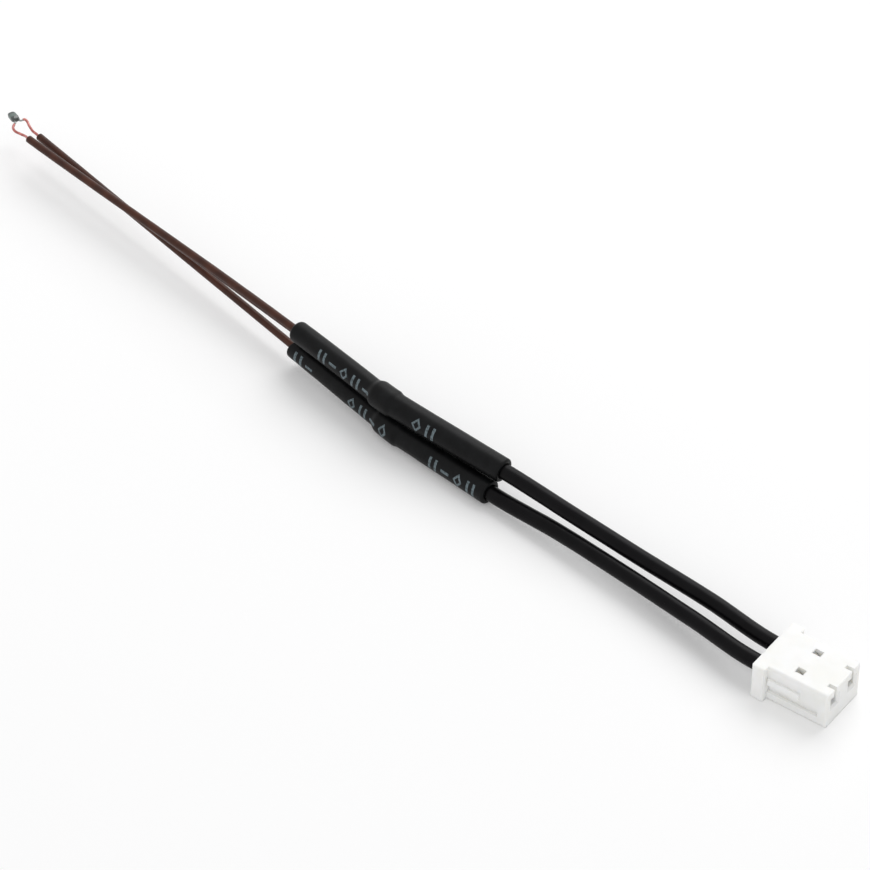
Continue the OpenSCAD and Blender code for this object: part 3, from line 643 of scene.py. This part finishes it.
def makeSleeve(side):
    begin, end, edge = lay["joint"][side] + lay["fallInside"], lay["reach"][side], sleeve["edge"]
    chamfer = edge * sleeve["edgeShare"]
    path = fineLine(side, np.linspace(0, end + sleeve["beyond"], sleeve["pathSteps"]))
    s = np.linspace(begin, end - edge, sleeve["rings"])
    r, bore = radius["sleeve"], radius["sleeveBore"]
    outer = np.stack([s, np.full_like(s, r)], axis=1)
    inner = [[end - chamfer, r - chamfer], [end, r - edge], [end, bore + edge], [end - edge, bore],
             [begin, bore]]
    uneven = waves(sleeve, side)

    def shape(s, a, r):
        return np.where(r > sleeve["wallFrom"], r + uneven(s, a) - sleeve["under"], r)

    skin = turnedSkin(pathThrough(path)[1], np.concatenate([outer, inner]), sleeve["sides"], shape)
    addPiece("sleeve" + sideTitles[side], [skin], "sleeve_" + sideNames[side],
             sleeveLook)


# Fine leads, with bare loops at the bead and stripped ends

lead = {
    # Rings are closer over the last stretch, which has the loop
    "sides": 24, "runRings": 60, "loopRings": 260, "loopLong": 5.0, "bendSteps": 12, "pathSteps": 120,
    "freeEnd": 0.6,  # the path leaves the sleeve's line this far before the sleeve's end
    "seed": 71, "periods": [0.31, 0.53, 0.9], "uneven": 0.003, "under": 0.002,
    "bare": 0.98, "bareRadius": 0.06, "taper": 0.08,  # stripped length with the part in the glass
    "ragFrom": 0.3, "ragTo": 0.7, "ragged": 0.05, "fade": 0.03,  # the red skin's ragged end
    "bareColor": "#8f9290", "metal": [0.25, 0.85],  # metallic on the skin and where it is stripped
    # Copper-clad wire for sealing into glass, drawn: a red skin with a thin gloss, stripped at the
    # end in the glass, where it is grey
    "skin": {
        "plain": {"Coat Weight": 0.5, "Coat Roughness": 0.2},
        "grains": {"cloud": (0.3, 3.0, 1), "patch": (0.1, 2.0, 1), "line": (0.05, 2.0, 0.1),
                   "rag": (0.08, 2.0, 1)},
        "tone": ("cloud", 0.35, 0.65, "#a04a44", "#cd7d74"),
        "gloss": ("patch", 0, 1, 0.3, 0.44),
        "relief": [("line", 0.002, 0.5)],
    },
}


def redWireLook():
    look, tree, shader, grain, red = dress("copperCladWire", lead["skin"])
    # X of the skin's coordinates is the distance in mm from the wire's end in the glass
    back = put(tree, "ShaderNodeSeparateXYZ", {"Vector": put(tree, "ShaderNodeTexCoord")["UV"]})["X"]
    ragged = put(tree, "ShaderNodeMapRange", {"Value": grain["rag"], "From Min": lead["ragFrom"],
                                              "From Max": lead["ragTo"], "To Min": -lead["ragged"],
                                              "To Max": lead["ragged"]})[0]
    place = put(tree, "ShaderNodeMath", {0: back, 1: ragged}, operation="ADD")[0]
    bare = put(tree, "ShaderNodeMapRange", {"Value": place, "From Min": lead["bare"] - lead["fade"],
                                            "From Max": lead["bare"] + lead["fade"],
                                            "To Min": 1.0, "To Max": 0.0})[0]
    colour = put(tree, "ShaderNodeMix", {0: bare, 6: red, 7: linearColor(lead["bareColor"])},
                 data_type="RGBA")[2]
    tree.links.new(colour, shader.inputs["Base Color"])
    metal = put(tree, "ShaderNodeMapRange", {"Value": bare, "To Min": lead["metal"][0],
                                             "To Max": lead["metal"][1]})[0]
    tree.links.new(metal, shader.inputs["Metallic"])
    return look


leadLook = redWireLook()


def leadLine(side, x):
    # Where a lead runs in the glass, x mm from the bead's middle
    sign = 1 - 2 * side
    direction = at["beadDir"]
    across = np.array([-direction[1], direction[0], 0])
    return at["bead"] + x * direction + sign * lay["leadSpacing"] / 2 * across


def makeLead(side):
    direction, straight, half = at["fineDir"][side], lay["leadStraight"], lay["beadLong"] / 2
    far, last = at["far"][side], leadLine(side, lay["leadIn"] - half)
    bends = [far - straight * direction, far + straight * direction]
    bends += [at["tip"] + np.array(p) for p in lay["loops"][side]]
    bends += [leadLine(side, -half - radius["lead"]), last]
    inSleeve = fineLine(side, np.linspace(radius["lead"], lay["reach"][side] - lead["freeEnd"],
                                          lead["pathSteps"]))
    length, follow = pathThrough(np.concatenate([inSleeve, [far - straight * direction],
                                                 smoothCurve(bends, lead["bendSteps"]), [last]]))
    loop = length - lead["loopLong"]
    s = np.concatenate([np.linspace(0, loop, lead["runRings"], endpoint=False),
                        np.linspace(loop, length, lead["loopRings"])])
    # The red skin ends in a short taper down to the stripped wire
    share = np.clip((length - s - lead["bare"]) / lead["taper"] + 0.5, 0, 1)
    thick = lead["bareRadius"] + (radius["lead"] - lead["bareRadius"]) * share
    uneven = waves(lead, side)

    def shape(s, a, r):
        return r + uneven(s, a) - lead["under"]

    verts, quads, uvs, caps = turnedSkin(follow, np.stack([s, thick], axis=1), lead["sides"], shape,
                                         closed=False)
    uvs = np.stack([length - uvs[..., 0], uvs[..., 1]], axis=-1)
    addPiece("fineLead" + sideTitles[side], [(verts, quads, uvs, caps)], "fine_lead_" + sideNames[side],
             leadLook)


# Glass bead, with a collar where each lead enters

bead = {
    "sides": 64, "rings": 40, "flat": 0.002,
    "power": 3.2, "endPower": 3.4,  # roundness across and along: 2 is an ellipse, more is squarer
    # Collars: how thick the glass is on the wire, and how far they reach into the bead and out
    "collar": 0.035, "collarClear": 0.002, "collarIn": 0.05, "collarOut": 0.06,
    "collarSides": 24, "collarRings": 9,
    # Paler band across it, in mm from the bead's end: its middle, and where it is full and gone
    "band": {"middle": 0.47, "full": 0.06, "gone": 0.24, "color": "#5f6e69"},
    # Sealing glass, melted over the chip: dark grey-green and glossy, slightly wavy
    "glass": {
        "plain": {"IOR": 1.52, "Coat Weight": 0.6, "Coat Roughness": 0.06},
        "grains": {"cloud": (0.15, 3.0, 1), "patch": (0.12, 2.0, 1), "wave": (0.25, 2.0, 1)},
        "tone": ("cloud", 0.35, 0.65, "#262e2c", "#353f3d"),
        "gloss": ("patch", 0, 1, 0.1, 0.22),
        "relief": [("wave", 0.012, 0.5)],
    },
}


def glassLook():
    look, tree, shader, grain, deep = dress("sealingGlass", bead["glass"])
    # The chip shows as a paler band across the bead
    band = bead["band"]
    along = put(tree, "ShaderNodeSeparateXYZ", {"Vector": put(tree, "ShaderNodeTexCoord")["UV"]})["X"]
    away = put(tree, "ShaderNodeMath", {0: along, 1: band["middle"]}, operation="SUBTRACT")[0]
    away = put(tree, "ShaderNodeMath", {0: away}, operation="ABSOLUTE")[0]
    share = put(tree, "ShaderNodeMapRange", {"Value": away, "From Min": band["full"],
                                             "From Max": band["gone"], "To Min": 1.0, "To Max": 0.0},
                interpolation_type="SMOOTHSTEP")[0]
    colour = put(tree, "ShaderNodeMix", {0: share, 6: deep, 7: linearColor(band["color"])},
                 data_type="RGBA")[2]
    tree.links.new(colour, shader.inputs["Base Color"])
    return look


def makeBead():
    # Body: radius share (1 - |x|^m)^(1/m) along it, and round it a rounded box,
    # r = share / (|cos a / wide|^n + |sin a / thick|^n)^(1/n)
    half, m, n = lay["beadLong"] / 2, bead["endPower"], bead["power"]
    wide, thick = lay["beadWide"] / 2, lay["beadThick"] / 2
    s = half - (half - bead["flat"]) * np.cos(np.linspace(0, math.pi, bead["rings"]))
    share = (1 - (np.abs(s - half) / half) ** m) ** (1 / m)

    def box(s, a, r):
        return r / ((np.abs(np.cos(a)) / wide) ** n + (np.abs(np.sin(a)) / thick) ** n) ** (1 / n)

    body = straightPath(at["bead"] - half * at["beadDir"], at["beadDir"])
    skins = [turnedSkin(body, np.stack([s, share], axis=1), bead["sides"], box, closed=False)]
    # Collars: the radius falls from the glass to the stripped wire as (1 - t)^2
    t = np.linspace(0, 1, bead["collarRings"])
    place = bead["collarIn"] - (bead["collarIn"] + bead["collarOut"]) * t
    thick = lead["bareRadius"] + bead["collar"] * (1 - t) ** 2 + bead["collarClear"]
    flare = np.stack([place, thick], axis=1)[::-1]
    for side in (left, right):
        foot = straightPath(leadLine(side, -half), at["beadDir"])
        skins.append(turnedSkin(foot, flare, bead["collarSides"], closed=False))
    addPiece("beadGlass", skins, "bead_glass", glassLook())


for side in (left, right):
    makeInsulation(side)
    makeStrands(side)
    makeTube(side)
    makeSleeve(side)
    makeLead(side)
makeBead()
print("round pieces made")


# Stage, light and camera

stage = {
    "floorReach": 4.0,  # in metres
    # White paper, uncoated: quite matt, and lifted towards white where it is seen
    "paper": {"Base Color": linearColor("#ffffff"), "Roughness": 0.9, "Specular IOR Level": 0.1},
    "paperLift": 0.13,
    "lamp": {"place": (-0.05, 0.42, 0.48), "wide": 0.65, "power": 2.55},  # in metres and watts
    # Brightness of the tent by the direction that it is seen in
    "tent": {"facing": (0.2, -0.7, 0.9), "low": -0.3, "high": 0.9, "dark": "#7d7d7f",
             "bright": "#e5e5e5"},
}
view = {
    "target": (3.66, 0.10, 0.0),  # in mm; the angles are in degrees and the distance is in metres
    "azimuth": 36.5, "elevation": 42.0, "distance": 0.250, "lens": 171.7, "film": 36.0,
    "clip": [0.01, 10],
}


def seenRays(tree):
    # 1 for camera, glossy and transmission rays, 0 for the others
    ray = put(tree, "ShaderNodeLightPath")
    both = put(tree, "ShaderNodeMath", {0: ray["Is Camera Ray"], 1: ray["Is Glossy Ray"]},
               operation="MAXIMUM")[0]
    return put(tree, "ShaderNodeMath", {0: both, 1: ray["Is Transmission Ray"]}, operation="MAXIMUM")[0]


def makeFloor():
    reach = stage["floorReach"]
    mesh = bpy.data.meshes.new("floor")
    mesh.from_pydata([(-reach, -reach, 0), (reach, -reach, 0), (reach, reach, 0), (-reach, reach, 0)],
                     [], [(0, 1, 2, 3)])
    made = bpy.data.objects.new("floor", mesh)
    bpy.context.scene.collection.objects.link(made)
    look, tree, shader = newLook("paperFloor", stage["paper"])
    # The camera, metal and glass see it about an eighth nearer to white, so its shadows stay pale
    share = put(tree, "ShaderNodeMath", {0: seenRays(tree), 1: stage["paperLift"]},
                operation="MULTIPLY")[0]
    white = put(tree, "ShaderNodeEmission", {"Color": linearColor("#ffffff"), "Strength": 1.0})[0]
    both = put(tree, "ShaderNodeMixShader", {0: share, 1: shader.outputs["BSDF"], 2: white})[0]
    tree.links.new(both, tree.nodes["Material Output"].inputs["Surface"])
    mesh.materials.append(look)


def makeLight():
    # One wide round lamp behind the part
    lamp = bpy.data.lights.new("keyLight", "AREA")
    lamp.shape = "DISK"
    lamp.size = stage["lamp"]["wide"]
    lamp.energy = stage["lamp"]["power"]
    made = bpy.data.objects.new("keyLight", lamp)
    made.location = stage["lamp"]["place"]
    made.rotation_euler = (-Vector(stage["lamp"]["place"])).to_track_quat("-Z", "Y").to_euler()
    bpy.context.scene.collection.objects.link(made)


def makeWorld():
    # A white tent: bright overhead and in front, darker low down behind the part, and plain white
    # where it is seen
    tent = stage["tent"]
    world = bpy.data.worlds.new("softRoom")
    bpy.context.scene.world = world
    world.use_nodes = True
    tree = world.node_tree
    back = tree.nodes["Background"]
    ray = put(tree, "ShaderNodeTexCoord")["Generated"]
    facing = put(tree, "ShaderNodeVectorMath", {0: ray, 1: tent["facing"]},
                 operation="DOT_PRODUCT")["Value"]
    share = put(tree, "ShaderNodeMapRange", {"Value": facing, "From Min": tent["low"],
                                             "From Max": tent["high"]})[0]
    glow = put(tree, "ShaderNodeMix", {0: share, 6: linearColor(tent["dark"]),
                                       7: linearColor(tent["bright"])}, data_type="RGBA")[2]
    seen = put(tree, "ShaderNodeMix", {0: seenRays(tree), 6: glow, 7: linearColor("#ffffff")},
               data_type="RGBA")[2]
    tree.links.new(seen, back.inputs["Color"])
    back.inputs["Strength"].default_value = 1.0


def makeCamera():
    data = bpy.data.cameras.new("camera")
    data.lens, data.sensor_width = view["lens"], view["film"]
    data.clip_start, data.clip_end = view["clip"]
    made = bpy.data.objects.new("camera", data)
    az, el = math.radians(view["azimuth"]), math.radians(view["elevation"])
    target = Vector(view["target"]) * mm
    towards = Vector((math.sin(az) * math.cos(el), -math.cos(az) * math.cos(el), math.sin(el)))
    made.location = target + view["distance"] * towards
    made.rotation_euler = (target - made.location).to_track_quat("-Z", "Y").to_euler()
    bpy.context.scene.collection.objects.link(made)
    bpy.context.scene.camera = made


makeFloor()
makeLight()
makeWorld()
makeCamera()
bpy.context.scene.view_settings.view_transform = "Standard"
print("stage made")

bpy.context.view_layer.update()
